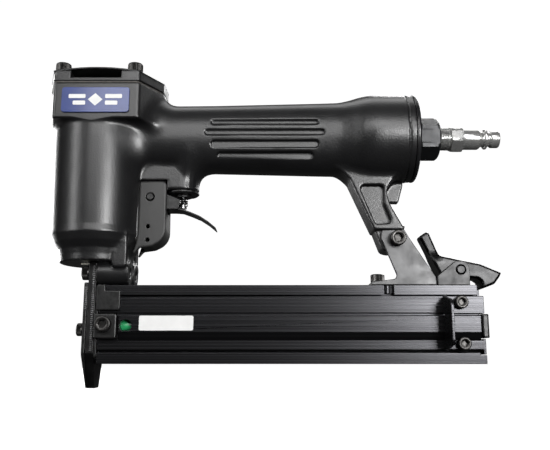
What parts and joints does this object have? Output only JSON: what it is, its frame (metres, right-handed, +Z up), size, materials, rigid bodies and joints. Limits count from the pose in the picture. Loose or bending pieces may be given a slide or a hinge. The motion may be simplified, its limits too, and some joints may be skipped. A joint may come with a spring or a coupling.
{
  "type": "pneumatic brad nailer",
  "caption": "Compact pneumatic brad nailer with a round drive head, grooved handle, pull trigger, narrow driver nose, sliding side-loading magazine and quick-release air plug.",
  "frame": {"origin": "solid foot of the driver guide at the tip of the nose, on the mid-plane, just behind the driver channel", "axes": "+Z up along the drive axis, away from the work; +X back along the handle to the air plug; the loading side of the magazine faces -Y"},
  "size_m": [0.2593, 0.057, 0.1795],
  "materials": {
    "black_paint": "satin black enamel with a fine texture",
    "guard_paint": "satin black enamel",
    "black_anodised": "black anodised, satin",
    "black_oxide": "black oxide, satin",
    "satin_steel": "satin steel",
    "bright_chrome": "polished",
    "zinc_plate": "bright zinc plate",
    "aluminium": "as machined",
    "rubber": "matte",
    "bumper_rubber": "matte cream",
    "gasket_paper": "matte fibre sheet",
    "badge_blue": "gloss",
    "label_white": "satin",
    "indicator_green": "satin"
  },
  "bodies": {
    "body": {"housing": "black_paint", "cap_gasket": "gasket_paper", "cylinder_cap": "black_paint", "exhaust_plate": "black_oxide", "cap_screw_1": "black_oxide", "cap_screw_2": "black_oxide", "cap_screw_3": "black_oxide", "cap_screw_4": "black_oxide", "badge_plate": "badge_blue", "cylinder_sleeve": "aluminium", "sleeve_oring": "rubber", "bumper": "bumper_rubber", "head_valve_spring": "satin_steel", "end_cap": "black_paint", "end_cap_oring": "rubber", "inlet_adapter": "black_oxide", "air_plug": "bright_chrome", "trigger_guard": "guard_paint", "trigger_pin": "black_oxide", "valve_bushing": "black_oxide", "valve_oring": "rubber", "valve_spring": "satin_steel", "nose_front_plate": "black_oxide", "driver_guide": "zinc_plate", "nose_rear_plate": "black_oxide", "nose_seal": "bumper_rubber", "nose_screw_1": "black_oxide", "nose_screw_2": "black_oxide", "front_screw_1": "black_oxide", "front_screw_2": "black_oxide", "nose_bracket": "black_oxide", "screw_block": "black_oxide", "side_screw": "black_oxide", "magazine_fixed": "black_anodised", "magazine_screw": "black_oxide", "rear_bracket": "satin_steel", "arm_screw": "black_oxide", "arm_nut": "black_oxide", "latch_bracket": "satin_steel", "latch_pin": "satin_steel", "latch_spring": "satin_steel"},
    "piston_set": {"piston": "aluminium", "piston_ring": "rubber", "driver_blade": "satin_steel"},
    "head_valve": {"head_valve": "aluminium"},
    "trigger": {"trigger": "black_oxide"},
    "valve_stem": {"valve_stem": "satin_steel"},
    "slide": {"magazine_slide": "black_anodised", "pull_bracket": "black_anodised", "tab_screw_1": "black_oxide", "tab_screw_2": "black_oxide", "slide_end_cap": "black_oxide", "pusher_rod": "satin_steel", "reload_label": "label_white", "pusher_spring": "satin_steel"},
    "pusher": {"pusher": "satin_steel", "reload_indicator": "indicator_green"},
    "latch_lever": {"latch_lever": "zinc_plate"}
  },
  "joints": [
    {"name": "piston_stroke", "type": "slide", "parent": "body", "child": "piston_set", "axis": [0, 0, -1], "range_m": [0, 0.052]},
    {"name": "head_valve_lift", "type": "slide", "parent": "body", "child": "head_valve", "axis": [0, 0, 1], "range_m": [0, 0.003], "deforming": ["head_valve_spring"]},
    {"name": "trigger_pull", "type": "hinge", "parent": "body", "child": "trigger", "pos_m": [0.0283, 0, 0.1046], "axis": [0, -1, 0], "range_deg": [0, 6.5], "stiffness_Nm_per_rad": 0.8},
    {"name": "valve_stem_lift", "type": "slide", "parent": "body", "child": "valve_stem", "axis": [0, 0, 1], "range_m": [0, 0.002], "deforming": ["valve_spring"]},
    {"name": "slide_open", "type": "slide", "parent": "body", "child": "slide", "axis": [1, 0, 0], "range_m": [0, 0.12]},
    {"name": "pusher_feed", "type": "slide", "parent": "slide", "child": "pusher", "axis": [1, 0, 0], "range_m": [0, 0.1], "deforming": ["pusher_spring"]},
    {"name": "latch_release", "type": "hinge", "parent": "body", "child": "latch_lever", "pos_m": [0.2002, 0, 0.0636], "axis": [0, -1, 0], "range_deg": [0, 12], "stiffness_Nm_per_rad": 0.8}
  ],
  "couplings": [
    {"joint": "valve_stem_lift", "follows": "trigger_pull", "m_per_rad": 0.0174}
  ]
}
